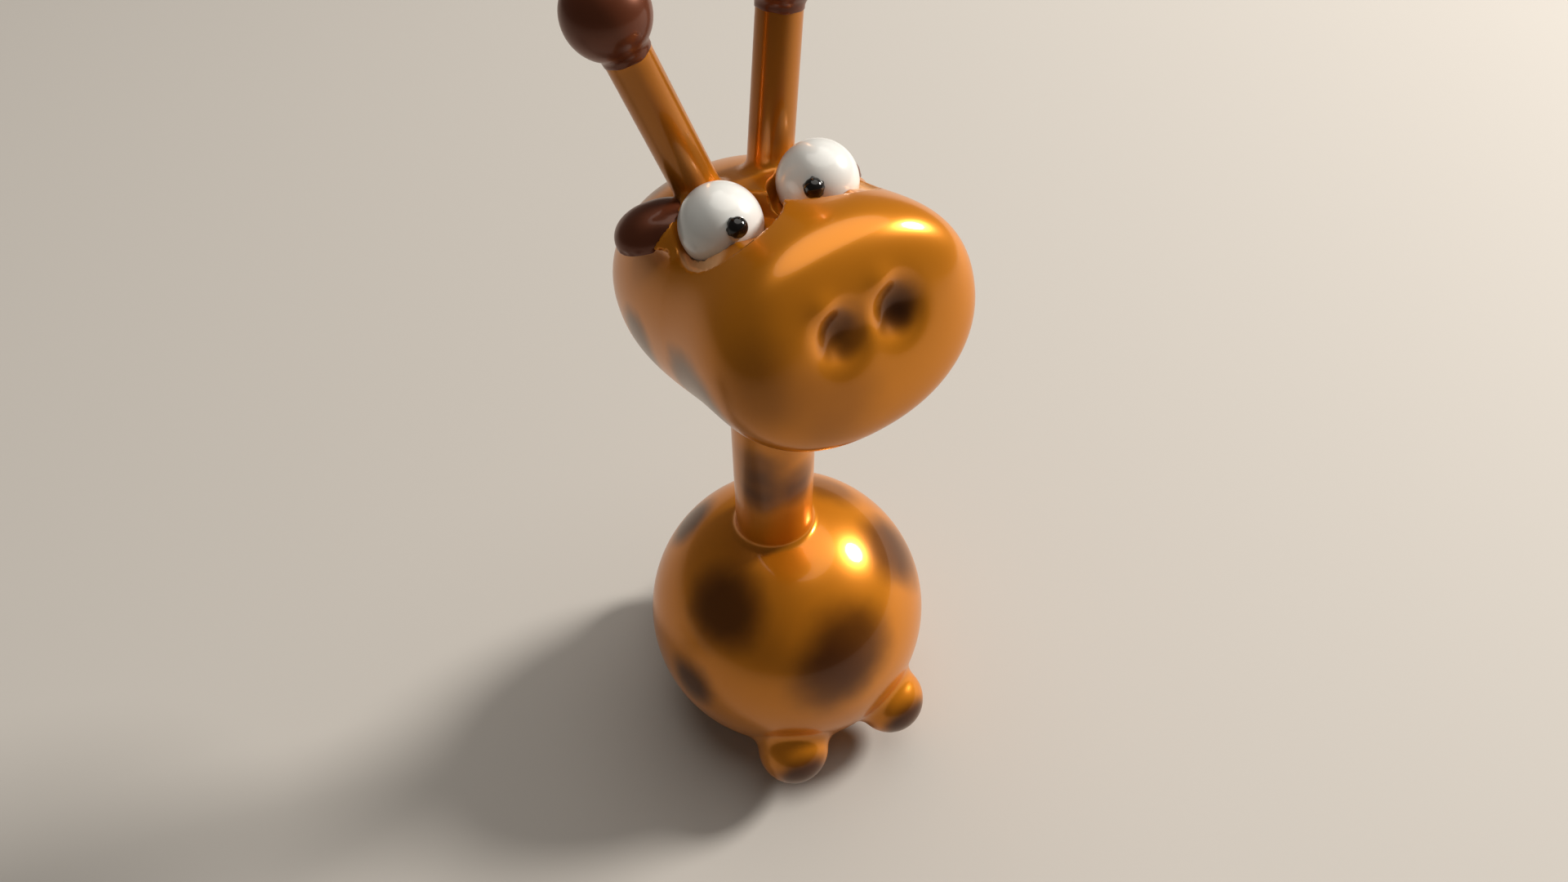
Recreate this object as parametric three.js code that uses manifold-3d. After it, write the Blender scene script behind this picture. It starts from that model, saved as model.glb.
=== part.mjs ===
// Giraffe ornament in lacquered resin: a ball body that rests on a flat sole, four stub feet,
// a straight round neck, a long head with two horn stems, and ball eyes in open sockets.
// Millimetres, +Z up. The origin is the middle of the sole, it faces -Y, and its left is +X.
import * as THREE from 'three';
import { mergeVertices } from 'three/addons/utils/BufferGeometryUtils.js';
import Module from 'manifold-3d';

const wasm = await Module();
wasm.setup();

// Gap between pieces that touch
const fitGap = 0.3;

// Ball body and its flat sole
const ballRadius = 53;
const soleRadius = 25;

// Stub feet: each is a short round post that leaves the ball at an angle
const footRadius = 13.4;
const footStandOut = 2;
const footSwing = 25.8;
const footDrop = 25.2;
const footFillet = 4;
const footSink = 1;

// Neck: set a little back and a little to the giraffe's right of the ball's crown
const neckRadius = 13.8;
const neckLength = 77;
const neckBack = 6.3;
const neckAside = 2;
const neckFillet = 3;

// Head: a long form whose sections are rounded rectangles, blunt in front and rounder behind
const headFront = 42.5;
const headBack = 64.8;
const headHalfWidth = 39;
const headHalfHeight = 31.4;
const headAhead = 9.4;
const headPitch = 20.5;
const headTurn = 4.1;
const headTilt = 3.4;
const widthSlope = -0.052;
const widthFlare = 0.151;
const heightSlope = -0.061;
const heightFlare = 0.147;
const sectionPower = 2.17;
const frontPower = 4.44;
const backPower = 2.41;

// Eyes, and sockets that are wider and open further out, ahead and up
const eyeRadius = 11.1;
const socketRadius = 14.8;
const socketShift = { out: 0.9, ahead: 1.8, rise: 2.6 };
const eyeSeat = { along: 0.071, around: 67.1, reach: 0.962 };

// Pupils: beads on the eyes, each given by where it looks (left, ahead, up)
const pupilRadius = 2.75;
const pupilGaze = {
  right: new THREE.Vector3(-0.022, 0.848, 0.53),
  left: new THREE.Vector3(-0.539, 0.684, 0.491),
};

// Nostrils: shallow round dents in the blunt front of the muzzle
const nostrilRadius = 7.6;
const nostrilDepth = 3.8;
const nostrilAcross = 0.191;
const nostrilUp = 0.17;

// Horn stems and knobs
const hornRootRadius = 6.4;
const hornTipRadius = 6.2;
const hornFillet = 3;
const hornBuried = 12.5;
const hornLength = { right: 44.1, left: 41.3 };
const hornSpread = 14.3;
const hornLean = 9.9;
const hornSeat = { along: -0.231, around: 74.15, reach: 1.0 };
const knobRadius = 11.3;
const knobNeck = 10.9;
const knobLip = 0.2;
const knobTuck = 50;

// Ears: half lobes on the sides of the head, round above and flat below, the left one lower
const earReach = 12;
const earDepth = 9.7;
const earThickness = 7.3;
const earUnderside = 1.1;
const earDroop = 9.2;
const earSweep = 19.1;
const earTip = 16.5;
const earShift = { right: { out: 0, ahead: 0, drop: 0 }, left: { out: 0.5, ahead: 1.5, drop: 6 } };
const earSeat = { along: -0.218, around: 52.9, reach: 1.052 };

// Facets round each form, and rings from pole to pole as a share of them
const facets = {
  ball: 40, head: 38, neck: 28, horn: 18, foot: 16, eye: 20, ear: 16, nostril: 16, pupil: 12,
};
const ballRings = 0.6;
const headRings = 0.66;

// Posts start this share of the way out to the ball's skin
const rootShare = 0.8;

// Points closer than this are one point
const weldDistance = 1e-4;

const sides = { right: -1, left: 1 };
const up = new THREE.Vector3(0, 0, 1);
const { degToRad, clamp } = THREE.MathUtils;

// Where the main forms sit above the sole
const ballHeight = Math.sqrt(ballRadius ** 2 - soleRadius ** 2);
const ballCrown = ballHeight + ballRadius;
const pitch = degToRad(headPitch);
const chinDrop = headHalfHeight / Math.cos(pitch) + headAhead * Math.sin(pitch);
const headHeight = ballCrown + neckLength + chinDrop;

// The head turns and tilts as one, about the neck's axis
const headGroup = new THREE.Group();
headGroup.position.set(-neckAside, neckBack, headHeight);
headGroup.rotation.set(0, -degToRad(headTilt), degToRad(headTurn), 'ZYX');
headGroup.updateMatrixWorld();

// A direction written as left, ahead and up, in the model's own axes
function facing(direction) {
  return new THREE.Vector3(direction.x, -direction.y, direction.z).normalize();
}

// A point at the given angle on the rounded square |x|^power + |y|^power = 1
function roundedSquare(angle, power) {
  const x = Math.cos(angle);
  const y = Math.sin(angle);
  const scale = (Math.abs(x) ** power + Math.abs(y) ** power) ** (-1 / power);
  return { x: x * scale, y: y * scale };
}

// Half width and half height of the head, from -1 at the back to 1 at the muzzle
function headSection(along) {
  return {
    width: headHalfWidth * (1 + widthSlope * along + widthFlare * along ** 2),
    height: headHalfHeight * (1 + heightSlope * along + heightFlare * along ** 2),
  };
}

// A point of the head in its own group: its place along the axis and its offset across it
function headPlace(along, across, above) {
  const ahead = along * (along > 0 ? headFront : headBack);
  const forward = headAhead + ahead * Math.cos(pitch) - above * Math.sin(pitch);
  const rise = ahead * Math.sin(pitch) + above * Math.cos(pitch);
  return new THREE.Vector3(across, -forward, rise);
}

// A point on the head's skin, or a share of the way out to it, on one side of the head
function headSpot({ along, around, reach }, side) {
  const power = along > 0 ? frontPower : backPower;
  const girth = (1 - Math.abs(along) ** power) ** (1 / power) * reach;
  const rim = roundedSquare(degToRad(around), sectionPower);
  const section = headSection(along);
  return headPlace(along, side * section.width * girth * rim.x, section.height * girth * rim.y);
}

// A point on the blunt front, given as shares of the half width and half height
function muzzleSpot(across, above) {
  const reach = Math.abs(across) ** sectionPower + Math.abs(above) ** sectionPower;
  const girth = reach ** (1 / sectionPower);
  const along = (1 - girth ** frontPower) ** (1 / frontPower);
  const section = headSection(along);
  return headPlace(along, across * section.width, above * section.height);
}

// The head's skin: a sphere whose points move out to the head's sections, and grow by a clearance
function headForm(clearance) {
  const form = new THREE.SphereGeometry(1, facets.head, Math.round(facets.head * headRings));
  const points = form.attributes.position;
  for (let i = 0; i < points.count; i++) {
    const dot = new THREE.Vector3().fromBufferAttribute(points, i);
    const fromMuzzle = Math.acos(clamp(dot.y, -1, 1));
    const power = fromMuzzle < Math.PI / 2 ? frontPower : backPower;
    const profile = roundedSquare(fromMuzzle, power);
    const rim = roundedSquare(Math.atan2(-dot.z, dot.x), sectionPower);
    const section = headSection(profile.x);
    const across = (section.width + clearance) * profile.y * rim.x;
    const above = (section.height + clearance) * profile.y * rim.y;
    const place = headPlace(profile.x, across, above);
    points.setXYZ(i, place.x, place.y, place.z);
  }
  return form;
}

// A ball with its poles up and down
function ball(radius, facetCount) {
  const form = new THREE.SphereGeometry(radius, facetCount, Math.round(facetCount * ballRings));
  return form.rotateX(Math.PI / 2);
}

// A round form turned from (radius, distance) points, standing on a start point along a direction
function turned(outline, facetCount, start, direction) {
  const profile = outline.map(([radius, distance]) => new THREE.Vector2(radius, distance));
  const form = new THREE.LatheGeometry(profile, facetCount);
  const turn = new THREE.Quaternion().setFromUnitVectors(new THREE.Vector3(0, 1, 0), direction);
  return form.applyQuaternion(turn).translate(start.x, start.y, start.z);
}

// Quarter round from a flared foot in to the post's own radius
function fillet(radius, size, distance) {
  const steps = 4;
  return Array.from({ length: steps + 1 }, (_, i) => {
    const angle = (i / steps) * (Math.PI / 2);
    return [radius + size * (1 - Math.sin(angle)), distance + size * (1 - Math.cos(angle))];
  });
}

// Round end of a post, from its full radius to its tip
function dome(radius, distance) {
  const steps = 5;
  return Array.from({ length: steps + 1 }, (_, i) => {
    const angle = (i / steps) * (Math.PI / 2);
    return [i === steps ? 0 : radius * Math.cos(angle), distance + radius * Math.sin(angle)];
  });
}

// A closed form as a solid, in the place that the matrix gives
function solid(geometry, matrix = new THREE.Matrix4()) {
  const bare = geometry.clone();
  bare.deleteAttribute('normal');
  bare.deleteAttribute('uv');
  const joined = mergeVertices(bare.applyMatrix4(matrix), weldDistance);
  const corners = joined.index.array;
  const triangles = [];
  for (let i = 0; i < corners.length; i += 3) {
    const [a, b, c] = corners.slice(i, i + 3);
    if (a !== b && b !== c && c !== a) triangles.push(a, b, c);
  }
  const points = joined.attributes.position.array;
  if (signedVolume(points, triangles) < 0) triangles.reverse();
  return new wasm.Manifold(new wasm.Mesh({
    numProp: 3,
    vertProperties: new Float32Array(points),
    triVerts: new Uint32Array(triangles),
  }));
}

function signedVolume(points, triangles) {
  const corner = (i) => new THREE.Vector3().fromArray(points, triangles[i] * 3);
  let volume = 0;
  for (let i = 0; i < triangles.length; i += 3) {
    volume += corner(i).dot(corner(i + 1).cross(corner(i + 2))) / 6;
  }
  return volume;
}

// A named mesh from a solid
function piece(name, body, material) {
  const { numProp, vertProperties, triVerts } = body.getMesh();
  const points = new Float32Array((vertProperties.length / numProp) * 3);
  for (let i = 0; i < points.length / 3; i++) {
    points.set(vertProperties.subarray(i * numProp, i * numProp + 3), i * 3);
  }
  const geometry = new THREE.BufferGeometry();
  geometry.setAttribute('position', new THREE.BufferAttribute(points, 3));
  geometry.setIndex(new THREE.BufferAttribute(new Uint32Array(triVerts), 1));
  geometry.computeVertexNormals();
  const mesh = new THREE.Mesh(geometry, material);
  mesh.name = name;
  return mesh;
}

function glossy(color, roughness, metalness) {
  return new THREE.MeshStandardMaterial({ color, roughness, metalness });
}

const orangeLacquer = () => glossy(0xb5651d, 0.25, 0.2);
const brownLacquer = () => glossy(0x4a1e0e, 0.3, 0.1);
const whiteEnamel = () => glossy(0xe9e9e6, 0.12, 0);
const blackEnamel = () => glossy(0x0b0b0d, 0.08, 0);

// Horns spread to the sides and lean back
function hornAxis(side) {
  const spread = Math.tan(degToRad(hornSpread));
  const lean = Math.tan(degToRad(hornLean));
  return facing(new THREE.Vector3(side * spread, -lean, 1));
}

function hornStem(name, clearance) {
  const side = sides[name];
  const length = hornLength[name];
  const outline = [
    [0, -hornBuried],
    [hornRootRadius + hornFillet + clearance, -hornBuried],
    ...fillet(hornRootRadius + clearance, hornFillet, 0),
    [hornTipRadius + clearance, length],
    [0, length],
  ];
  return turned(outline, facets.horn, headSpot(hornSeat, side), hornAxis(side));
}

// The eye rests on the inner side of the socket, and the rest of the socket stands open
function socket(side) {
  const { out, ahead, rise } = socketShift;
  const seat = headSpot(eyeSeat, side);
  const form = ball(socketRadius, facets.eye);
  return form.translate(seat.x + side * out, seat.y - ahead, seat.z + rise);
}

// A dent that a ball leaves when it is pressed into the front along the nose
function nostril(side) {
  const nose = new THREE.Vector3(0, -Math.cos(pitch), Math.sin(pitch));
  const centre = muzzleSpot(side * nostrilAcross, nostrilUp);
  centre.addScaledVector(nose, nostrilRadius - nostrilDepth);
  return ball(nostrilRadius, facets.nostril).translate(centre.x, centre.y, centre.z);
}

// A flattened ball whose underside is cut flat, a little below its middle
function earLobe() {
  const form = ball(1, facets.ear).scale(earReach, earDepth, earThickness);
  const points = form.attributes.position;
  for (let i = 0; i < points.count; i++) {
    points.setZ(i, Math.max(points.getZ(i), -earUnderside));
  }
  return form;
}

const headMatrix = headGroup.matrixWorld;
const giraffe = new THREE.Group();

// The casting: ball, sole, feet, neck, head and horn stems in one
const ballCentre = new THREE.Vector3(0, 0, ballHeight);
let casting = solid(ball(ballRadius, facets.ball).translate(0, 0, ballHeight));

for (const side of Object.values(sides)) {
  for (const end of [1, -1]) {
    const swing = degToRad(footSwing);
    const drop = degToRad(footDrop);
    const across = side * Math.cos(drop) * Math.sin(swing);
    const ahead = end * Math.cos(drop) * Math.cos(swing);
    const outward = facing(new THREE.Vector3(across, ahead, -Math.sin(drop)));
    const skin = Math.sqrt(ballRadius ** 2 - (footRadius + footFillet) ** 2) - footSink;
    const root = skin * rootShare;
    const outline = [
      [0, root],
      [footRadius + footFillet, root],
      ...fillet(footRadius, footFillet, skin),
      ...dome(footRadius, Math.max(ballRadius + footStandOut, skin + footFillet)),
    ];
    casting = casting.add(solid(turned(outline, facets.foot, ballCentre, outward)));
  }
}

const neckFoot = new THREE.Vector3(-neckAside, neckBack, ballHeight);
const neckOffset = Math.hypot(neckAside, neckBack);
const neckRim = neckRadius + neckFillet + neckOffset / 2;
const neckSkin = Math.sqrt(ballRadius ** 2 - neckRim ** 2);
const neckOutline = [
  [0, neckSkin * rootShare],
  [neckRadius + neckFillet, neckSkin * rootShare],
  ...fillet(neckRadius, neckFillet, neckSkin),
  [neckRadius, headHeight - ballHeight],
  [0, headHeight - ballHeight],
];
casting = casting.add(solid(turned(neckOutline, facets.neck, neckFoot, up)));
casting = casting.add(solid(headForm(0), headMatrix));

for (const name of Object.keys(sides)) {
  casting = casting.add(solid(hornStem(name, 0), headMatrix));
}
for (const side of Object.values(sides)) {
  casting = casting.subtract(solid(socket(side), headMatrix));
  casting = casting.subtract(solid(nostril(side), headMatrix));
}

const belowSole = new THREE.BoxGeometry(ballRadius * 4, ballRadius * 4, ballRadius * 2);
casting = casting.subtract(solid(belowSole.translate(0, 0, -ballRadius)));
giraffe.add(piece('giraffe_casting', casting, orangeLacquer()));

// Knobs, ears, eyes and pupils are pieces of their own, carried by the head
for (const [name, side] of Object.entries(sides)) {
  const eyeCentre = headSpot(eyeSeat, side);
  const eye = solid(ball(eyeRadius, facets.eye));
  const eyeMesh = piece(`eye_${name}`, eye, whiteEnamel());
  eyeMesh.position.copy(eyeCentre);
  headGroup.add(eyeMesh);

  const gaze = facing(pupilGaze[name]).multiplyScalar(eyeRadius);
  const bead = solid(ball(pupilRadius, facets.pupil).translate(gaze.x, gaze.y, gaze.z));
  const pupil = bead.subtract(solid(ball(eyeRadius + fitGap, facets.eye)));
  const pupilMesh = piece(`pupil_${name}`, pupil, blackEnamel());
  pupilMesh.position.copy(eyeCentre);
  headGroup.add(pupilMesh);

  const axis = hornAxis(side);
  const tip = headSpot(hornSeat, side).addScaledVector(axis, hornLength[name] + fitGap);
  const tuck = degToRad(knobTuck);
  const knobOutline = [[0, 0], [hornTipRadius + knobLip, 0]];
  const knobSteps = 10;
  for (let i = 0; i <= knobSteps; i++) {
    const angle = (i / knobSteps) * (Math.PI / 2 + tuck) - tuck;
    const radius = i === knobSteps ? 0 : knobRadius * Math.cos(angle);
    knobOutline.push([radius, knobNeck + knobRadius * Math.sin(angle)]);
  }
  const knob = solid(turned(knobOutline, facets.eye, new THREE.Vector3(), axis));
  const knobMesh = piece(`horn_knob_${name}`, knob, brownLacquer());
  knobMesh.position.copy(tip);
  headGroup.add(knobMesh);

  const lobe = earLobe().rotateX(-degToRad(earTip));
  lobe.rotateY(side * degToRad(earDroop)).rotateZ(side * degToRad(earSweep));
  const earCentre = headSpot(earSeat, side);
  const { out, ahead, drop } = earShift[name];
  lobe.translate(earCentre.x + side * out, earCentre.y - ahead, earCentre.z - drop);
  const ear = solid(lobe)
    .subtract(solid(headForm(fitGap)))
    .subtract(solid(hornStem(name, fitGap)))
    .subtract(solid(socket(side)));
  headGroup.add(piece(`ear_${name}`, ear, brownLacquer()));
}
giraffe.add(headGroup);

export default giraffe;
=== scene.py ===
import math

import bpy
import numpy as np
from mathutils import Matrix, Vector


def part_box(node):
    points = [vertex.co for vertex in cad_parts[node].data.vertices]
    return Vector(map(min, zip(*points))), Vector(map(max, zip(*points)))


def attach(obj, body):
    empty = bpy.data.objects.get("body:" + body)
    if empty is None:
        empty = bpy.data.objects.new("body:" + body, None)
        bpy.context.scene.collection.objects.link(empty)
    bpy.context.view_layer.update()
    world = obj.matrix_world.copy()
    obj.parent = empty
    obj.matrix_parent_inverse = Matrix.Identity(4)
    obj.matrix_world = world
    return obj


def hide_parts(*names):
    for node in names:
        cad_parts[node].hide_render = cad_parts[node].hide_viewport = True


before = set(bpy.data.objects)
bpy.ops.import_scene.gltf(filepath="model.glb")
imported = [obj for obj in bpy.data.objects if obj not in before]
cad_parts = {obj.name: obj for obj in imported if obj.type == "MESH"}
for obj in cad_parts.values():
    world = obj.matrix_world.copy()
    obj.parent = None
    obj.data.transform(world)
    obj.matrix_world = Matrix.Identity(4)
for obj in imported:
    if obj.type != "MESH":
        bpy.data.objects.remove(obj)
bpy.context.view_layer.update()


# Casting. Ball body, four stub feet, neck, head and horn stems are one hollow resin casting,
# so every joint is a round fillet. It is sprayed with a metallic orange lacquer, and the dark
# brown spots are airbrushed over it before the clear coat. Painted shade darkens the lower
# left of the muzzle and the horn stems, and a painted reflection lightens the socket walls.

# Lengths are millimetres until a mesh or a material takes them
MM = 0.001
SIDES = {"right": -1, "left": 1}


def unit(vector):
    vector = np.asarray(vector, float)
    return vector / np.linalg.norm(vector)


def facing(azimuth, elevation):
    """Direction: azimuth from straight ahead towards its left, elevation up from level."""
    azimuth, elevation = math.radians(azimuth), math.radians(elevation)
    level = math.cos(elevation)
    return np.array([level * math.sin(azimuth), -level * math.cos(azimuth), math.sin(elevation)])


def turn_about(axis, angle):
    """Rotation matrix about one of the three axes, 0 for X to 2 for Z."""
    first, second = (axis + 1) % 3, (axis + 2) % 3
    matrix = np.eye(3)
    matrix[first, first] = matrix[second, second] = math.cos(angle)
    matrix[second, first] = math.sin(angle)
    matrix[first, second] = -math.sin(angle)
    return matrix


# Forms are distances from a surface: below nought inside, above nought outside
def joined(form, other, fillet):
    """Two forms run together with a fillet of about that radius."""
    blend_to_fillet = 1.17
    reach = blend_to_fillet * fillet
    overlap = np.maximum(reach - np.abs(form - other), 0) / reach
    return np.minimum(form, other) - overlap ** 2 * reach / 4


def hollowed(form, hollow, edge):
    """A form less a hollow, with its edge rounded to about that radius."""
    return -joined(-form, hollow, edge)


def ball_form(points, centre, radius):
    return np.linalg.norm(points - centre, axis=1) - radius


def post_form(points, start, end, start_radius, end_radius):
    """Round post with round ends."""
    along = end - start
    share = np.clip((points - start) @ along / (along @ along), 0, 1)
    nearest = start + share[:, None] * along
    radius = start_radius + (end_radius - start_radius) * share
    return np.linalg.norm(points - nearest, axis=1) - radius


def slope_of(form, points):
    """Direction in which a form grows fastest, for each point."""
    nudge = 0.05
    slopes = [form(points + step) - form(points - step) for step in np.eye(3) * nudge]
    return np.stack(slopes, axis=1) / (2 * nudge)


# Ball body on its flat sole
ball_radius = 53.0
sole_radius = 25.0
sole_edge = 0.6
ball_centre = np.array([0.0, 0.0, math.sqrt(ball_radius ** 2 - sole_radius ** 2)])

# Feet: each has the way its pair points, 0 ahead or 180 behind, and its swing to the side
foot_radius = 13.4
foot_stand_out = 2.0
foot_swing = 25.8
foot_drop = 25.2
foot_fillet = 4.0
foot_places = ((0, foot_swing), (0, -foot_swing), (180, -foot_swing), (180, foot_swing))
foot_ends = [
    ball_centre + facing(ahead + swing, -foot_drop) * (ball_radius + foot_stand_out)
    for ahead, swing in foot_places
]

neck_radius = 13.8
neck_length = 77.0
neck_foot = np.array([-2.0, 6.3, ball_centre[2]])
neck_fillet = 2.4

# Head: along its axis from -1 at the back to 1 at the muzzle, and its sections widen by a
# slope and a flare
head_front = 42.5
head_back = 64.8
head_half_width = 39.0
head_half_height = 31.4
head_ahead = 9.4
head_pitch = math.radians(20.5)
head_turn = math.radians(4.1)
head_tilt = math.radians(3.4)
width_slope, width_flare = -0.052, 0.151
height_slope, height_flare = -0.061, 0.147
section_power = 2.17
front_power = 4.44
back_power = 2.41
chin_fillet = 4.0

chin_drop = head_half_height / math.cos(head_pitch) + head_ahead * math.sin(head_pitch)
head_origin = neck_foot + [0, 0, ball_radius + neck_length + chin_drop]
head_axes = turn_about(2, head_turn) @ turn_about(1, -head_tilt)


def in_head(points):
    """Points of the whole giraffe, written in the head's own axes."""
    return (points - head_origin) @ head_axes


def out_of_head(points):
    """Points of the head, written in the whole giraffe's axes."""
    return np.asarray(points) @ head_axes.T + head_origin


def head_section(along):
    """Half width and half height of the head at a place along its axis."""
    width = head_half_width * (1 + width_slope * along + width_flare * along ** 2)
    height = head_half_height * (1 + height_slope * along + height_flare * along ** 2)
    return width, height


def head_place(along, across, above):
    """Point of the head from its place along the head's axis and its offset across it."""
    ahead = along * (head_front if along > 0 else head_back)
    forward = head_ahead + ahead * math.cos(head_pitch) - above * math.sin(head_pitch)
    rise = ahead * math.sin(head_pitch) + above * math.cos(head_pitch)
    return np.array([across, -forward, rise])


def rounded_square(angle, power):
    """Point at an angle, in degrees, on the rounded square |x|^power + |y|^power = 1."""
    x, y = math.cos(math.radians(angle)), math.sin(math.radians(angle))
    scale = (abs(x) ** power + abs(y) ** power) ** (-1 / power)
    return x * scale, y * scale


def head_spot(side, along, around, reach):
    """Point on the head's skin, or a share of the way out to it."""
    power = front_power if along > 0 else back_power
    girth = (1 - abs(along) ** power) ** (1 / power) * reach
    width, height = head_section(along)
    x, y = rounded_square(around, section_power)
    return head_place(along, side * width * girth * x, height * girth * y)


def muzzle_spot(across, above):
    """Point on the blunt front, given as shares of the half width and half height."""
    girth = (abs(across) ** section_power + abs(above) ** section_power) ** (1 / section_power)
    along = (1 - girth ** front_power) ** (1 / front_power)
    width, height = head_section(along)
    return head_place(along, across * width, above * height)


def head_form(points):
    """Long head whose sections are rounded rectangles, blunt in front and rounder behind."""
    section_limit = 1.3
    core_size = 0.05
    size_to_distance = 0.9
    ahead = -points[:, 1] - head_ahead
    along = ahead * math.cos(head_pitch) + points[:, 2] * math.sin(head_pitch)
    above = -ahead * math.sin(head_pitch) + points[:, 2] * math.cos(head_pitch)
    share = np.where(along > 0, along / head_front, along / head_back)
    width, height = head_section(np.clip(share, -section_limit, section_limit))
    ring = np.abs(points[:, 0] / width) ** section_power + np.abs(above / height) ** section_power
    ring = ring ** (1 / section_power)
    power = np.where(share > 0, front_power, back_power)
    size = np.maximum((ring ** power + np.abs(share) ** power) ** (1 / power), core_size)
    reach = np.sqrt(points[:, 0] ** 2 + along ** 2 + above ** 2)
    return size_to_distance * reach * (1 - 1 / size)


# Horn stems, which rise out of the forehead and spread
horn_root_radius = 6.4
horn_tip_radius = 6.2
horn_fillet = 3.0
horn_length = {"right": 44.1, "left": 41.3}
horn_spread = math.radians(14.3)
horn_lean = math.radians(9.9)
horn_seat = {"along": -0.231, "around": 74.15, "reach": 1.0}


def horn_axis(side):
    return unit([side * math.tan(horn_spread), math.tan(horn_lean), 1.0])


def horn_place(name, distance):
    """Point of the head, a distance up the middle of a horn stem."""
    side = SIDES[name]
    return head_spot(side, **horn_seat) + horn_axis(side) * distance


# Nostrils: soft dents in the muzzle, each with a swollen lip below it
nostril_across = 0.191
nostril_up = 0.17
nostril_half_width = 6.0
nostril_half_height = 7.0
nostril_half_reach = 21.0
nostril_depth = 3.6
nostril_power = 2.5
lip_swell = 0.9
lip_radius = 4.0
lip_drop = 8.5
lip_aside = 2.8


def nostril_dent(points, side):
    """How far the skin sinks for a nostril, and swells for the lip below it."""
    centre = muzzle_spot(side * nostril_across, nostril_up)
    outward = unit(slope_of(head_form, centre[None])[0])
    upward = unit(np.cross(outward, [-1, 0, 0]))
    across = np.cross(upward, outward)
    away = points - centre
    spread = np.sqrt((away @ across / nostril_half_width) ** 2
                     + (away @ upward / nostril_half_height) ** 2
                     + (away @ outward / nostril_half_reach) ** 2)
    lip = centre - upward * lip_drop + across * lip_aside
    swell = np.exp(-np.sum((points - lip) ** 2, axis=1) / lip_radius ** 2)
    return nostril_depth * np.exp(-spread ** nostril_power) - lip_swell * swell


# Ears: the root of each is cast with the head, and it ends in a crease where the lobe begins
ear_half = {"reach": 12.0, "depth": 9.7, "thickness": 7.3}
ear_underside = 1.1
ear_droop = math.radians(9.2)
ear_sweep = math.radians(19.1)
ear_tip = math.radians(16.5)
ear_seat = {"along": -0.218, "around": 52.9, "reach": 1.052}
ear_shift = {"right": (0.0, 0.0, 0.0), "left": (-1.2, -3.0, -6.0)}
ear_fillet = 4.0
root_swell = 1.06
crease_facing = {"outwards": 0.606, "back": 0.229, "up": 0.762}
crease_offset = -1.2
crease_edge = 0.5


def ear_frame(name):
    """Centre of an ear in the head's axes, and its own axes: outwards, back and up."""
    side = SIDES[name]
    centre = head_spot(side, **ear_seat) + ear_shift[name]
    axes = turn_about(2, side * ear_sweep) @ turn_about(1, side * ear_droop)
    return centre, axes @ turn_about(0, -ear_tip)


def crease_normal(name):
    """Direction square to the crease, in the ear's own axes, towards the lobe."""
    outwards, back, up = crease_facing.values()
    return np.array([SIDES[name] * outwards, back, up])


def past_crease(name, local):
    """How far points in an ear's own axes lie beyond the crease where its root ends."""
    return local @ crease_normal(name) - crease_offset


def lobe_form(local, halves):
    """Ellipsoid about the origin, as a distance that is true near its skin."""
    size = np.linalg.norm(local / halves, axis=1)
    slope = np.linalg.norm(local / np.square(halves), axis=1)
    return size * (size - 1) / np.maximum(slope, 1e-9)


def ear_root(points, name):
    """Part of the casting that holds an ear: the lobe's own form, up to the crease."""
    centre, axes = ear_frame(name)
    local = (points - centre) @ axes
    root = lobe_form(local, root_swell * np.array(list(ear_half.values())))
    root = np.maximum(root, -local[:, 2] - ear_underside)
    return hollowed(root, -past_crease(name, local), crease_edge)


# Sockets: ball-shaped hollows wider than the eyes, with a ledge inside on the outer lower side
eye_radius = 11.1
eye_centre = {}
for name in SIDES:
    low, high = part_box(f"eye_{name}")
    eye_centre[name] = np.array((low + high) / 2) / MM

socket_radius = 14.8
socket_edge = 0.8
socket_shift = {"out": -0.2, "ahead": 3.1, "up": 2.5}
shelf_drop = 1.0
shelf_slope = 0.5
shelf_root = 1.0
shelf_fillet = 1.0
rim_drop = 1.3
seat_edge = 0.4


def socket_centre(name):
    """Middle of a socket, in the head's axes."""
    shift = [SIDES[name] * socket_shift["out"], -socket_shift["ahead"], socket_shift["up"]]
    return in_head(eye_centre[name]) + np.array(shift)


def with_socket(head, points, name):
    """The head with an eye's socket, and the ledge that holds the eye in it."""
    eye = in_head(eye_centre[name])
    hollow = ball_form(points, socket_centre(name), socket_radius)
    upward = unit(slope_of(head_form, eye[None])[0]) - [SIDES[name] * shelf_slope, 0, 0]
    shelf = np.maximum((points - eye) @ unit(upward) + shelf_drop,
                       np.maximum(hollow - shelf_root, head + rim_drop))
    shelf = hollowed(shelf, ball_form(points, eye, eye_radius), seat_edge)
    return joined(hollowed(head, hollow, socket_edge), shelf, shelf_fillet)


def casting_form(points):
    form = ball_form(points, ball_centre, ball_radius)
    for end in foot_ends:
        foot = post_form(points, ball_centre, end, foot_radius, foot_radius)
        form = joined(form, foot, foot_fillet)
    neck_top = np.array([neck_foot[0], neck_foot[1], head_origin[2]])
    neck = post_form(points, neck_foot, neck_top, neck_radius, neck_radius)
    form = joined(form, neck, neck_fillet)

    local = in_head(points)
    head = head_form(local)
    for name, side in SIDES.items():
        head = joined(head, ear_root(local, name), ear_fillet)
        stem = post_form(local, horn_place(name, 0), horn_place(name, horn_length[name]),
                         horn_root_radius, horn_tip_radius)
        head = joined(head, stem, horn_fillet)
        head = head + nostril_dent(local, side)
        head = with_socket(head, local, name)
    form = joined(form, head, chin_fillet)
    return hollowed(form, points[:, 2], sole_edge)


def settled(form, points):
    """Points brought onto the surface of a form."""
    least_steepness = 0.05
    slope = slope_of(form, points)
    steepness = np.maximum(np.sum(slope ** 2, axis=1), least_steepness)
    return points - slope * (form(points) / steepness)[:, None]


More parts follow.
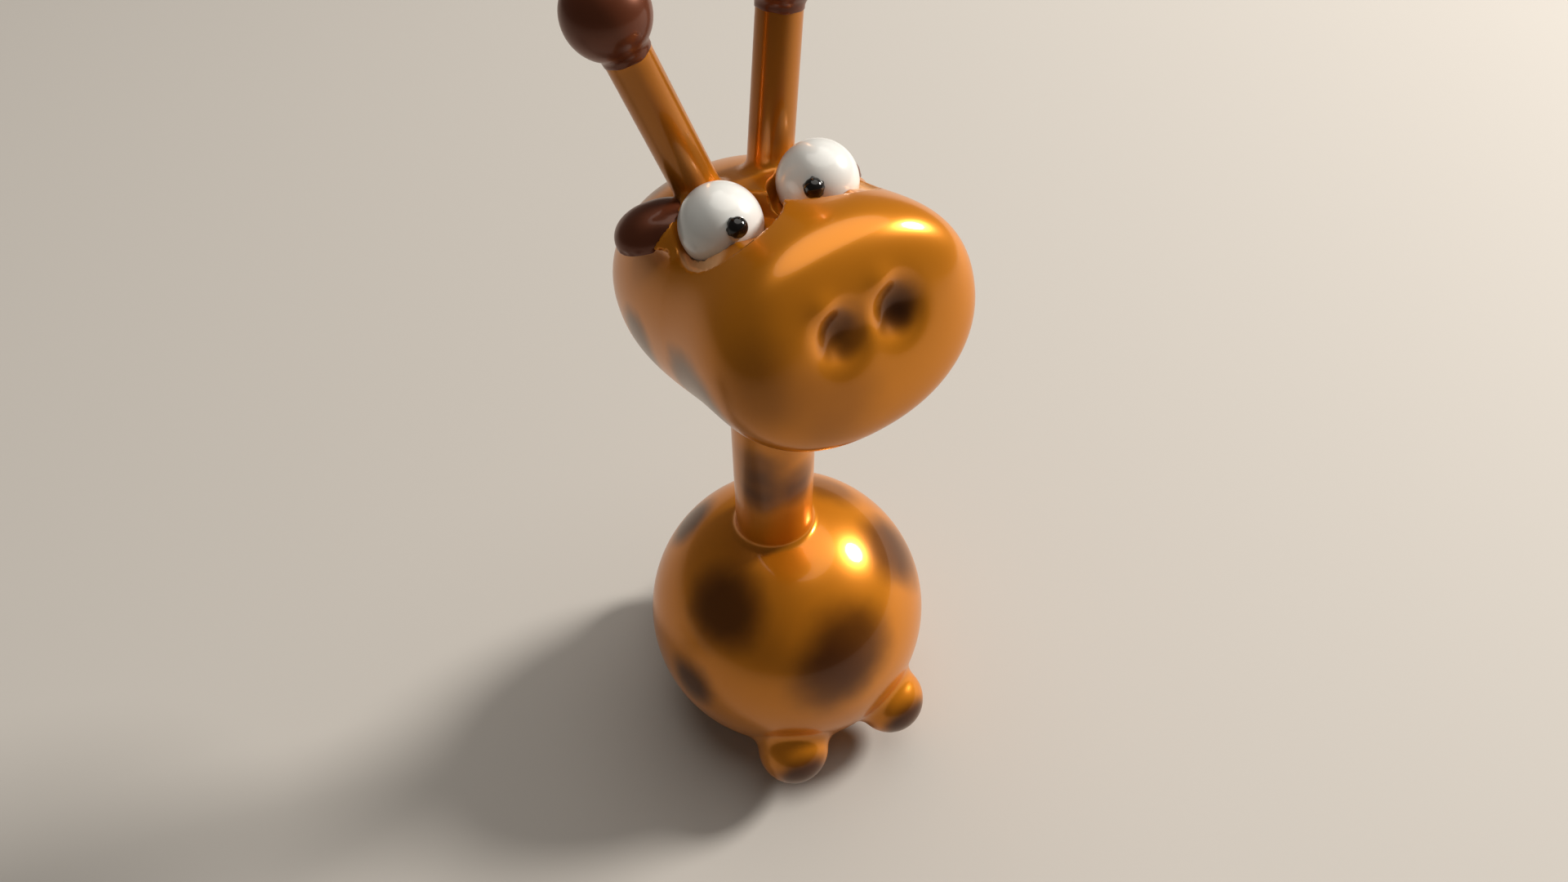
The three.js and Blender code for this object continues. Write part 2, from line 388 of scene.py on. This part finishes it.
def unpinched(values):
    """Lattice values, changed where the corners of a square lie in and out by turns.

    Two sheets of the skin would meet in such a square, so its least corner changes side.
    """
    for first, second in ((0, 1), (1, 2), (2, 0)):
        along, across = np.eye(3, dtype=int)[[first, second]]
        corners = [0 * along, along, along + across, across]
        span = np.array(values.shape) - along - across
        inside = []
        for corner in corners:
            window = tuple(slice(near, near + size) for near, size in zip(corner, span))
            inside.append(values[window] < 0)
        by_turns = (inside[0] == inside[2]) & (inside[1] == inside[3]) & (inside[0] != inside[1])
        for place in np.argwhere(by_turns):
            least = min((tuple(place + corner) for corner in corners),
                        key=lambda corner: abs(values[corner]))
            values[least] = -values[least]
    return values


def lattice_values(form, lines):
    """Values of a form at every point of a lattice, worked out level by level."""
    levels = []
    for level in lines[2]:
        x, y = np.meshgrid(lines[0], lines[1], indexing="ij")
        spots_and_shading = np.stack([x.ravel(), y.ravel(), np.full(x.size, level)], axis=1)
        levels.append(form(spots_and_shading).reshape(x.shape))
    return unpinched(unpinched(np.stack(levels, axis=2)))


def smoothed(form, points, faces, rounds):
    """Points drawn towards the mean of their neighbours, and settled on the form each time."""
    ends = np.concatenate([faces, np.roll(faces, -1, axis=1)])
    near, far = ends[:len(faces)].ravel(), ends[len(faces):].ravel()
    share = 1 / np.bincount(near)
    for _ in range(rounds):
        mean = np.stack([np.bincount(near, points[far, i]) * share for i in range(3)], axis=1)
        points = settled(form, (points + mean) / 2)
    return settled(form, points)


def skin_of(form, low, high, step, rounds):
    """Points and four-sided faces of a form's surface, one point to each crossed cell."""
    lines = [np.arange(low[i], high[i] + step, step) for i in range(3)]
    values = lattice_values(form, lines)
    strides = np.array([values.shape[1] * values.shape[2], values.shape[2], 1])

    cells, crossings = [], []
    for axis in range(3):
        ahead, left, back = np.roll(np.eye(3, dtype=int), -axis, axis=0)
        near = np.take(values, range(values.shape[axis] - 1), axis=axis)
        far = np.take(values, range(1, values.shape[axis]), axis=axis)
        edges = np.argwhere((near < 0) != (far < 0))
        start, end = near[tuple(edges.T)], far[tuple(edges.T)]
        crossing = edges + ahead * (start / (start - end))[:, None]
        around = np.stack([edges, edges - left, edges - left - back, edges - back], axis=1)
        around = around @ strides
        around[start > 0] = around[start > 0][:, ::-1]
        cells.append(around)
        crossings.append(crossing)
    cells, crossings = np.concatenate(cells), np.concatenate(crossings)

    _, faces = np.unique(cells.ravel(), return_inverse=True)
    share = 1 / np.bincount(faces)
    spread = np.repeat(crossings, 4, axis=0)
    points = np.stack([np.bincount(faces, spread[:, i]) * share for i in range(3)], axis=1)
    points = np.array([line[0] for line in lines]) + points * step
    faces = faces.reshape(-1, 4)
    return smoothed(form, points, faces, rounds), faces


def smooth_piece(name, points, faces):
    """Smooth mesh object from points in millimetres."""
    mesh = bpy.data.meshes.new(name)
    mesh.from_pydata((points * MM).tolist(), [], faces)
    mesh.validate()
    mesh.polygons.foreach_set("use_smooth", [True] * len(mesh.polygons))
    piece = bpy.data.objects.new(name, mesh)
    bpy.context.scene.collection.objects.link(piece)
    return piece


skin_step = 1.13
skin_rounds = 4
margin_below = 3.0
margin_above = 6.0

low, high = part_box("giraffe_casting")
points, faces = skin_of(casting_form, np.array(low) / MM - margin_below,
                        np.array(high) / MM + margin_above, skin_step, skin_rounds)
normals = slope_of(casting_form, points)
normals /= np.linalg.norm(normals, axis=1)[:, None]
casting = smooth_piece("casting", points, faces.tolist())
casting.data.normals_split_custom_set_from_vertices(normals.tolist())


def material_of(name):
    """New material, its node tree and its shader."""
    material = bpy.data.materials.new(name)
    material.use_nodes = True
    tree = material.node_tree
    return material, tree, tree.nodes["Principled BSDF"]


def node(tree, kind, inputs, output=0, **settings):
    """New node with its settings, its inputs linked or set, and one output given back."""
    made = tree.nodes.new(kind)
    for key, value in settings.items():
        setattr(made, key, value)
    for key, value in inputs.items():
        if isinstance(value, bpy.types.NodeSocket):
            tree.links.new(value, made.inputs[key])
        else:
            made.inputs[key].default_value = value
    return made.outputs[output]


def blended(tree, share, first, second):
    """Colour that goes from the first to the second as the share grows."""
    mix = tree.nodes.new("ShaderNodeMix")
    mix.data_type = "RGBA"
    tree.links.new(share, mix.inputs["Factor"])
    for socket, colour in ((mix.inputs[6], first), (mix.inputs[7], second)):
        if isinstance(colour, bpy.types.NodeSocket):
            tree.links.new(colour, socket)
        else:
            socket.default_value = colour
    return mix.outputs[2]


def shade(tree, shader, colour, metallic, roughness, coat, coat_roughness):
    """Painted finish under a clear coat."""
    tree.links.new(colour, shader.inputs["Base Color"])
    shader.inputs["Metallic"].default_value = metallic
    shader.inputs["Roughness"].default_value = roughness
    shader.inputs["Coat Weight"].default_value = coat
    shader.inputs["Coat Roughness"].default_value = coat_roughness


def wavering(tree, scale, amount):
    """Object coordinates, shifted a little from place to place."""
    place = node(tree, "ShaderNodeTexCoord", {}, "Object")
    noise = node(tree, "ShaderNodeTexNoise", {"Vector": place, "Scale": scale, "Detail": 2.0},
                 "Color")
    shift = node(tree, "ShaderNodeVectorMath", {0: noise, 1: (0.5, 0.5, 0.5)},
                 operation="SUBTRACT")
    shift = node(tree, "ShaderNodeVectorMath", {0: shift, "Scale": amount}, operation="SCALE")
    return node(tree, "ShaderNodeVectorMath", {0: place, 1: shift}, operation="ADD")


def clouded(tree, place, scale, detail, thin, full):
    """Paint that lies thinner and fuller from place to place."""
    share = node(tree, "ShaderNodeTexNoise", {"Vector": place, "Scale": scale, "Detail": detail},
                 "Fac")
    return blended(tree, share, thin, full)


def patch_share(tree, place, spots_and_shading):
    """Share of the ground colour left by soft round patches: spots, painted shade and painted
    light.
    """
    clear = None
    for centre, core, rim, strength in spots_and_shading:
        away = node(tree, "ShaderNodeVectorMath", {0: place, 1: tuple(centre * MM)}, "Value",
                    operation="DISTANCE")
        patch = node(tree, "ShaderNodeMapRange",
                     {"Value": away, "From Min": core * MM, "From Max": rim * MM,
                      "To Min": 1 - strength},
                     interpolation_type="SMOOTHSTEP")
        if clear is None:
            clear = patch
        else:
            clear = node(tree, "ShaderNodeMath", {0: clear, 1: patch}, operation="MULTIPLY")
    return clear


def on_ball(azimuth, elevation):
    return ball_centre + facing(azimuth, elevation) * ball_radius


def on_neck(azimuth, height):
    spot = neck_foot + facing(azimuth, 0) * neck_radius
    spot[2] = height
    return spot


def on_head(across, back, up):
    return out_of_head(np.array([across, back, up]))


def on_muzzle(across, above):
    return out_of_head(muzzle_spot(across, above))


# Each spot: its centre, the radii of its dark core and of its soft rim, and how dark it is
spots_and_shading = [
    (on_ball(-69.0, 49.0), 6.5, 20.5, 0.65), (on_ball(2.0, 34.0), 8.0, 24.0, 0.64),
    (on_ball(-9.0, 26.0), 5.0, 22.0, 0.55), (on_ball(63.5, 44.6), 6.0, 18.5, 0.58),
    (on_ball(68.0, 34.0), 6.0, 19.0, 0.5), (on_ball(118.3, 56.8), 4.0, 15.0, 0.42),
    (on_ball(-70.8, 9.3), 3.0, 14.5, 0.8), (on_ball(-141.2, 40.0), 4.0, 15.0, 1.0),
    (on_ball(160.0, 30.0), 6.0, 18.0, 0.95), (on_ball(75.0, 2.0), 5.0, 16.0, 0.9),
    (on_ball(-170.0, 2.0), 5.0, 15.0, 0.9), (on_ball(118.0, -2.0), 4.0, 13.5, 0.9),
    (on_ball(-118.0, -4.0), 4.0, 14.0, 0.9),
    (on_neck(-50.7, 125.0), 3.0, 10.0, 0.3), (on_neck(-50.7, 132.0), 4.0, 13.0, 0.55),
    (on_neck(-50.7, 143.0), 3.0, 12.0, 0.45), (on_neck(8.8, 129.0), 2.5, 9.5, 0.4),
    (on_neck(8.8, 135.0), 2.5, 10.5, 0.45), (on_neck(120.0, 150.0), 3.5, 12.0, 0.8),
    (on_neck(180.0, 128.0), 4.0, 12.5, 0.8), (on_neck(90.0, 118.0), 2.5, 10.5, 0.7),
    (on_head(-38.5, 8.0, -10.0), 5.0, 13.0, 0.85), (on_head(-38.0, -25.0, -4.0), 8.0, 18.0, 0.9),
    (on_head(38.5, 14.0, -9.0), 4.0, 13.0, 0.8), (on_head(38.0, -16.0, -8.0), 4.0, 13.0, 0.8),
    (on_head(-14.0, 46.0, 16.0), 5.0, 15.0, 0.8), (on_head(20.0, 40.0, -20.0), 4.0, 13.0, 0.8),
    (on_head(4.0, 22.0, -34.0), 5.0, 14.0, 0.8),
    # These two are painted shade, darkening the lower left of the muzzle
    (on_muzzle(-0.72, 0.0), 3.0, 18.0, 0.28), (on_muzzle(-0.3, -0.34), 3.0, 17.0, 0.24),
]

# The toes and the nostrils are sprayed dark too, and most of each horn stem is darkened a little
# as painted shade
toe_swing_share = 0.3
toe_elevation = -3
for end, (ahead, swing) in zip(foot_ends, foot_places):
    toe = facing(ahead + toe_swing_share * swing, toe_elevation)
    spots_and_shading.append((end + toe * foot_radius, 6.0, 14.0, 0.97))

stem_shade_height = 26.0
for name, side in SIDES.items():
    spots_and_shading.append((on_muzzle(side * nostril_across, nostril_up), 2.5, 8.0, 0.9))
    # Painted shade: a faint darkening over most of the horn stem
    spots_and_shading.append((out_of_head(horn_place(name, stem_shade_height)), 17.0, 23.0, 0.25))

# Painted reflection of the white eye: the socket walls are painted a pale orange where both of
# these reach
socket_light_reach = 13.0
socket_light_facing = {"outwards": 0.86, "back": -0.48, "up": -0.17}
socket_light_rim = 0.6
socket_light_spots, socket_light_limits = [], []
for name, side in SIDES.items():
    outwards, back, up = socket_light_facing.values()
    wall = in_head(eye_centre[name]) + socket_light_reach * unit([side * outwards, back, up])
    socket_light_spots.append((out_of_head(wall), 7.0, 10.5, 1.0))
    socket_light_limits.append((out_of_head(socket_centre(name)),
                         socket_radius, socket_radius + socket_light_rim, 1.0))

spray_falloff = 1.7
spot_and_shade_brown = (0.055, 0.012, 0.0015, 1)
socket_light_orange = (0.95, 0.52, 0.24, 1)
thin_orange = (0.57, 0.185, 0.006, 1)
full_orange = (0.68, 0.233, 0.010, 1)

orange, tree, lacquer = material_of("orange_lacquer")
place = wavering(tree, scale=70.0, amount=0.006)
clear = node(tree, "ShaderNodeMath", {0: patch_share(tree, place, spots_and_shading), 1: spray_falloff},
             operation="POWER")
within = node(tree, "ShaderNodeTexCoord", {}, "Object")
outside_socket_light = node(tree, "ShaderNodeMath", {0: patch_share(tree, within, socket_light_spots),
                                          1: patch_share(tree, within, socket_light_limits)},
                 operation="MAXIMUM")
paint = clouded(tree, place, 22.0, 3.0, thin_orange, full_orange)
# Painted reflection of the white eye: pale orange on the outer socket walls
paint = blended(tree, outside_socket_light, socket_light_orange, paint)
# Brown spots, with painted shade on the lower muzzle and the horn stems
paint = blended(tree, clear, spot_and_shade_brown, paint)
shade(tree, lacquer, paint, metallic=0.45, roughness=0.28, coat=0.35, coat_roughness=0.06)
lacquer.inputs["Specular Tint"].default_value = (1.0, 0.75, 0.55, 1)
casting.data.materials.append(orange)

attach(casting, "root")
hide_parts("giraffe_casting")


# Horn knobs. Bulbs of dark brown lacquered resin, pushed over the ends of the horn stems. Each
# narrows to a neck, and its lower edge is a little uneven where the brown meets the orange.

knob_radius = 10.9
knob_neck = 10.9
knob_fillet = 3.0
knob_lip = 0.2
knob_edge = 0.5
knob_crease = 50
knob_band = 1.5

# How many waves go round the lower edge, and how high they are
knob_waves = {3: 0.16, 7: 0.1}


def across_from(axis):
    """Two directions square to an axis and to each other."""
    first = unit(np.cross(axis, [0, 1, 0] if abs(axis[1]) < 0.8 else [1, 0, 0]))
    return first, np.cross(axis, first)


def ring_faces(rows, sides):
    """Faces between rings of points, and from the end rings to the first and last point."""
    faces = []
    for step in range(sides):
        following = (step + 1) % sides
        faces.append((0, 1 + following, 1 + step))
        for row in range(rows - 1):
            low, high = 1 + row * sides, 1 + (row + 1) * sides
            faces.append((low + step, low + following, high + following, high + step))
        last = 1 + (rows - 1) * sides
        faces.append((last + step, last + following, last + sides))
    return faces


def turned_skin(outline, start, axis, sides, waver=None):
    """Round form turned from (radius, distance) points, closed at both ends.

    The waver, where there is one, moves each point of the outline from angle to angle.
    """
    first, second = across_from(axis)
    rings = []
    for radius, distance in outline[1:-1]:
        for step in range(sides):
            angle = 2 * math.pi * step / sides
            wide, far = waver(angle, radius, distance) if waver else (radius, distance)
            spoke = first * math.cos(angle) + second * math.sin(angle)
            rings.append(start + axis * far + spoke * wide)
    points = np.array([start + axis * outline[0][1]] + rings + [start + axis * outline[-1][1]])
    return points, ring_faces(len(outline) - 2, sides)


def knob_outline():
    """Bulb that runs down into the stem through a fillet, from the crease to the top."""
    foot = horn_tip_radius + knob_lip
    outline = [(0, 0), (foot - knob_edge, -0.2 * knob_edge), (foot - 0.3 * knob_edge, 0),
               (foot, 0.4 * knob_edge)]
    hub = foot + knob_fillet
    rise = math.sqrt((knob_radius + knob_fillet) ** 2 - hub ** 2)
    tuck = math.atan2(rise, hub)
    for angle in np.linspace(0, tuck, 8)[1:-1]:
        outline.append((hub - knob_fillet * math.cos(angle),
                        knob_neck - rise + knob_fillet * math.sin(angle)))
    for angle in np.linspace(-tuck, math.pi / 2, 32)[:-1]:
        outline.append((knob_radius * math.cos(angle), knob_neck + knob_radius * math.sin(angle)))
    outline.append((0, knob_neck + knob_radius))
    return outline


def wave_round(waves, angle, phase):
    """Height, at an angle, of the waves that go round an edge."""
    return sum(height * math.sin(count * angle + turn * phase)
               for turn, (count, height) in enumerate(waves.items(), start=1))


def uneven_edge(phase):
    """Waver of a knob's lower edge, which dies away above it."""
    def waver(angle, radius, distance):
        fade = max(0.0, 1 - distance / knob_band)
        return radius, distance + fade * wave_round(knob_waves, angle, phase)
    return waver


brown, tree, brown_shader = material_of("brown_lacquer")
paint = clouded(tree, wavering(tree, scale=90.0, amount=0.004), 45.0, 4.0,
                thin=(0.075, 0.018, 0.007, 1), full=(0.135, 0.036, 0.015, 1))
shade(tree, brown_shader, paint, metallic=0.3, roughness=0.34, coat=0.25, coat_roughness=0.08)
brown_shader.inputs["Specular Tint"].default_value = (1.0, 0.6, 0.45, 1)

for name, side in SIDES.items():
    tip = out_of_head(horn_place(name, horn_length[name]))
    points, faces = turned_skin(knob_outline(), tip, head_axes @ horn_axis(side), 72,
                                uneven_edge(side))
    knob = smooth_piece(f"knob_{name}", points, faces)
    knob.data.set_sharp_from_angle(angle=math.radians(knob_crease))
    knob.data.materials.append(brown)
    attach(knob, "root")
    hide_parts(f"horn_knob_{name}")


# Ears. Flattened lobes in the same dark brown, each fixed on an orange root that flares out of
# the side of the head. Brown and orange meet in a crisp crease, and the lower rim is ragged.

ear_power = 2.3
ear_crease = 40
ear_rings = 30
ear_sides = 120
rim_band = 0.12
crease_cover = 0.8

# The rim's waves: how many go round, how high, and where they start
rim_waves = ((9, 0.018, 1.3), (23, 0.012, 0.0))

# The hollow underside: shares of the way out to the rim, and depths below it
underside_rings = ((0.97, 0.75), (0.9, 0.95), (0.5, 0.7))
underside_middle = 0.6


def ear_skin(name):
    """Lobe that is round above and hollow below, cut off along the crease."""
    centre, axes = ear_frame(name)
    halves = np.array(list(ear_half.values()))
    lowest = -ear_underside / ear_half["thickness"]
    points = [np.array([0, 0, halves[2]])]
    for ring in range(1, ear_rings + 1):
        height = math.cos(math.acos(lowest) * ring / ear_rings)
        girth = math.sqrt(1 - height ** 2)
        rim = max(0.0, 1 - (height - lowest) / rim_band)
        for step in range(ear_sides):
            angle = 360 * step / ear_sides
            ragged = sum(wave * math.sin(math.radians(count * angle) + start)
                         for count, wave, start in rim_waves)
            reach = girth * (1 + rim * ragged)
            x, y = rounded_square(angle, ear_power)
            points.append(np.array([reach * x, reach * y, height]) * halves)
    for inset, depth in underside_rings:
        for step in range(ear_sides):
            x, y = rounded_square(360 * step / ear_sides, ear_power)
            points.append(np.array([inset * halves[0] * x, inset * halves[1] * y,
                                    -ear_underside - depth]))
    points.append(np.array([0, 0, -ear_underside - underside_middle]))
    points = np.array(points)

    # What lies behind the crease would show through the root, so it is pressed flat
    buried = np.minimum(past_crease(name, points) + crease_cover, 0)
    points = points - buried[:, None] * crease_normal(name)
    downwards = ring_faces(ear_rings + len(underside_rings), ear_sides)
    faces = [(face[0], *face[:0:-1]) for face in downwards]
    return out_of_head(centre + points @ axes.T), faces


for name in SIDES:
    points, faces = ear_skin(name)
    ear = smooth_piece(f"ear_lobe_{name}", points, faces)
    ear.data.set_sharp_from_angle(angle=math.radians(ear_crease))
    ear.data.materials.append(brown)
    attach(ear, "root")
    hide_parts(f"ear_{name}")


# Eyes. White enamelled balls that rest in the open sockets, each on the ledge inside. They are
# smooth and glossy, and the enamel is a little thinner here and there.

def ball_outline(radius, steps):
    angles = np.linspace(-math.pi / 2, math.pi / 2, steps)
    return [(max(radius * math.cos(angle), 0), radius * math.sin(angle)) for angle in angles]


white, tree, enamel = material_of("white_enamel")
paint = clouded(tree, wavering(tree, scale=60.0, amount=0.004), 60.0, 3.0,
                thin=(0.66, 0.68, 0.67, 1), full=(0.76, 0.77, 0.76, 1))
shade(tree, enamel, paint, metallic=0.0, roughness=0.25, coat=0.6, coat_roughness=0.12)

for name in SIDES:
    points, faces = turned_skin(ball_outline(eye_radius, 49), eye_centre[name],
                                head_axes[:, 2], 96)
    eye = smooth_piece(f"eyeball_{name}", points, faces)
    eye.data.materials.append(white)
    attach(eye, "root")
    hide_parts(f"eye_{name}")


# Pupils. Small beads of black enamel set on the eyes. They stand proud, and their rim is a
# little ragged where the bead meets the white.

bead_radius = 2.75
gaze = {"right": (-0.022, -0.848, 0.53), "left": (-0.539, -0.684, 0.491)}
rim_below = 0.5
rim_width = 0.7
bead_ragged = 0.07
bead_waves = {5: 1.0, 11: 0.7}


def ragged_rim(phase):
    """Waver of a bead where it meets the eye."""
    def waver(angle, radius, distance):
        near_rim = math.exp(-((distance + rim_below) / rim_width) ** 2)
        wave = wave_round(bead_waves, angle, phase)
        return radius * (1 + bead_ragged * near_rim * wave), distance
    return waver


black, tree, gloss = material_of("black_enamel")
paint = clouded(tree, wavering(tree, scale=200.0, amount=0.002), 300.0, 3.0,
                thin=(0.003, 0.003, 0.003, 1), full=(0.008, 0.007, 0.007, 1))
shade(tree, gloss, paint, metallic=0.0, roughness=0.16, coat=0.3, coat_roughness=0.05)
gloss.inputs["Specular IOR Level"].default_value = 0.3

for name, side in SIDES.items():
    axis = head_axes @ unit(gaze[name])
    points, faces = turned_skin(ball_outline(bead_radius, 33),
                                eye_centre[name] + axis * eye_radius, axis, 64,
                                ragged_rim(side))
    bead = smooth_piece(f"bead_{name}", points, faces)
    bead.data.materials.append(black)
    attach(bead, "root")
    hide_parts(f"pupil_{name}")


# Floor, light and camera. A plain pale floor, a soft lamp to the giraffe's left and a large one
# overhead, and a camera where the outlines in the photo put it.

floor_half = 8.0
corners = [(-floor_half, -floor_half, 0), (floor_half, -floor_half, 0),
           (floor_half, floor_half, 0), (-floor_half, floor_half, 0)]
floor_mesh = bpy.data.meshes.new("floor")
floor_mesh.from_pydata(corners, [], [(0, 1, 2, 3)])
floor = bpy.data.objects.new("floor", floor_mesh)
bpy.context.scene.collection.objects.link(floor)
matt, tree, matt_shader = material_of("pale_floor")
matt_shader.inputs["Base Color"].default_value = (0.48, 0.46, 0.435, 1)
matt_shader.inputs["Roughness"].default_value = 0.8
floor.data.materials.append(matt)


def soft_light(name, direction, distance, size, power, colour):
    """Round area light that looks at the middle of the giraffe."""
    aim = Vector((0, 0, 0.15))
    lamp = bpy.data.lights.new(name, "AREA")
    lamp.shape = "ELLIPSE"
    lamp.size, lamp.size_y, lamp.energy, lamp.color = size, size, power, colour
    light = bpy.data.objects.new(name, lamp)
    light.location = aim + Vector(direction).normalized() * distance
    light.rotation_euler = (aim - light.location).to_track_quat("-Z", "Y").to_euler()
    bpy.context.scene.collection.objects.link(light)


soft_light("key", (0.85, -0.07, 0.53), distance=3.2, size=0.8, power=140,
           colour=(1.0, 0.94, 0.86))
soft_light("overhead", (0.25, 0.2, 1.0), distance=2.2, size=2.6, power=30,
           colour=(1.0, 0.95, 0.88))

world = bpy.data.worlds.new("studio")
world.use_nodes = True
world.node_tree.nodes["Background"].inputs["Color"].default_value = (0.58, 0.53, 0.46, 1)
world.node_tree.nodes["Background"].inputs["Strength"].default_value = 0.165
bpy.context.scene.world = world
bpy.context.scene.view_settings.view_transform = "Standard"

lens = bpy.data.cameras.new("camera")
lens.sensor_width = 36.0
lens.lens = 24.444
camera = bpy.data.objects.new("camera", lens)
camera.location = (-0.107357, -0.195066, 0.412425)
camera.rotation_euler = (math.radians(40), 0, math.radians(-28.513))
bpy.context.scene.collection.objects.link(camera)
bpy.context.scene.camera = camera
